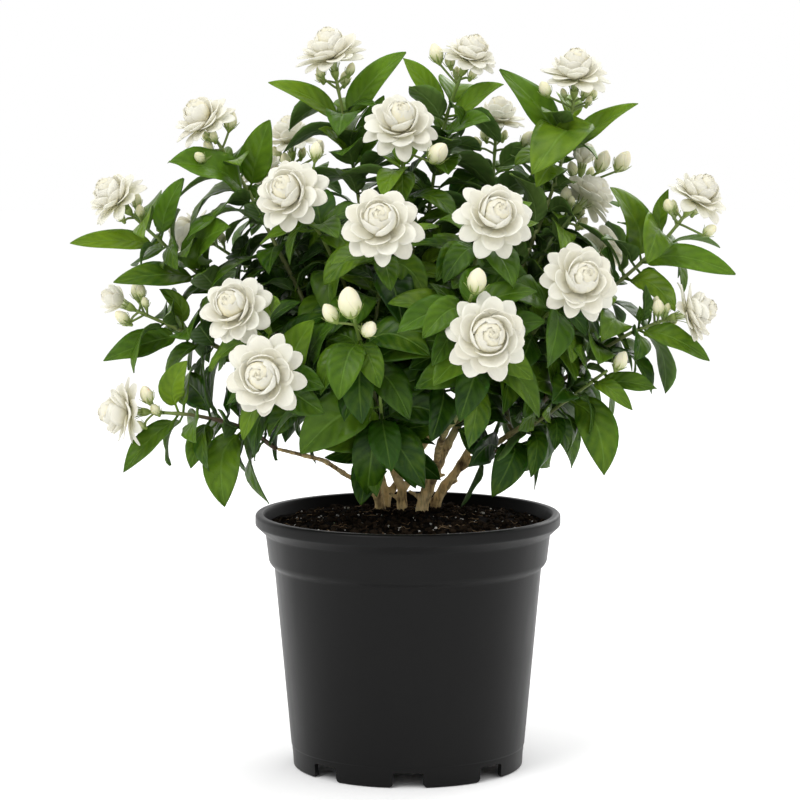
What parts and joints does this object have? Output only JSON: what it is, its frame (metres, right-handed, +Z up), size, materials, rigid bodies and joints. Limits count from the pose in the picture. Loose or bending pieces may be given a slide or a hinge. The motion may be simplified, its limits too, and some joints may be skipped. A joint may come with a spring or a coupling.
{
  "type": "potted double-flowered jasmine",
  "caption": "Bushy jasmine with glossy leaves and layered white rose-like blooms, growing on woody stems in a black round nursery pot.",
  "frame": {"origin": "on the ground at the axis of the pot, which is the middle of the bush's box within 3 mm", "axes": "+Z up along the pot's axis; -Y is the front shown in the picture; +X to its right"},
  "size_m": [0.33, 0.2383, 0.3734],
  "materials": {
    "pot": "satin",
    "soil": "matte",
    "bark": "matte",
    "leaf": "satin",
    "petal": "matte"
  },
  "bodies": {
    "root": {"nursery_pot": "pot", "potting_soil": "soil", "woody_stem_left": "bark", "woody_stem_middle": "bark", "woody_stem_right": "bark", "woody_stem_far_right": "bark", "woody_stem_back": "bark", "shoot_01": "leaf", "shoot_02": "leaf", "shoot_03": "leaf", "shoot_04": "leaf", "shoot_05": "leaf", "shoot_06": "leaf", "shoot_07": "leaf", "shoot_08": "leaf", "shoot_09": "leaf", "shoot_10": "leaf", "shoot_11": "leaf", "shoot_12": "leaf", "shoot_13": "leaf", "shoot_14": "leaf", "shoot_15": "leaf", "shoot_16": "leaf", "shoot_17": "leaf", "shoot_18": "leaf", "shoot_19": "leaf", "shoot_20": "leaf", "shoot_21": "leaf", "shoot_22": "leaf", "shoot_23": "leaf", "shoot_24": "leaf", "leafy_shoot_low_left": "leaf", "leafy_shoot_low_right": "leaf", "leafy_shoot_front_left": "leaf", "leafy_shoot_front_right": "leaf", "leafy_shoot_back": "leaf", "bloom_01": "petal", "bloom_02": "petal", "bloom_03": "petal", "bloom_04": "petal", "bloom_05": "petal", "bloom_06": "petal", "bloom_07": "petal", "bloom_08": "petal", "bloom_09": "petal", "bloom_10": "petal", "bloom_11": "petal", "bloom_12": "petal", "bloom_13": "petal", "bloom_14": "petal", "bloom_15": "petal", "bloom_16": "petal", "bloom_17": "petal", "bloom_18": "petal", "bloom_19": "petal", "bloom_20": "petal", "bloom_21": "petal", "bloom_22": "petal", "bloom_23": "petal", "bloom_24": "petal"}
  },
  "joints": []
}
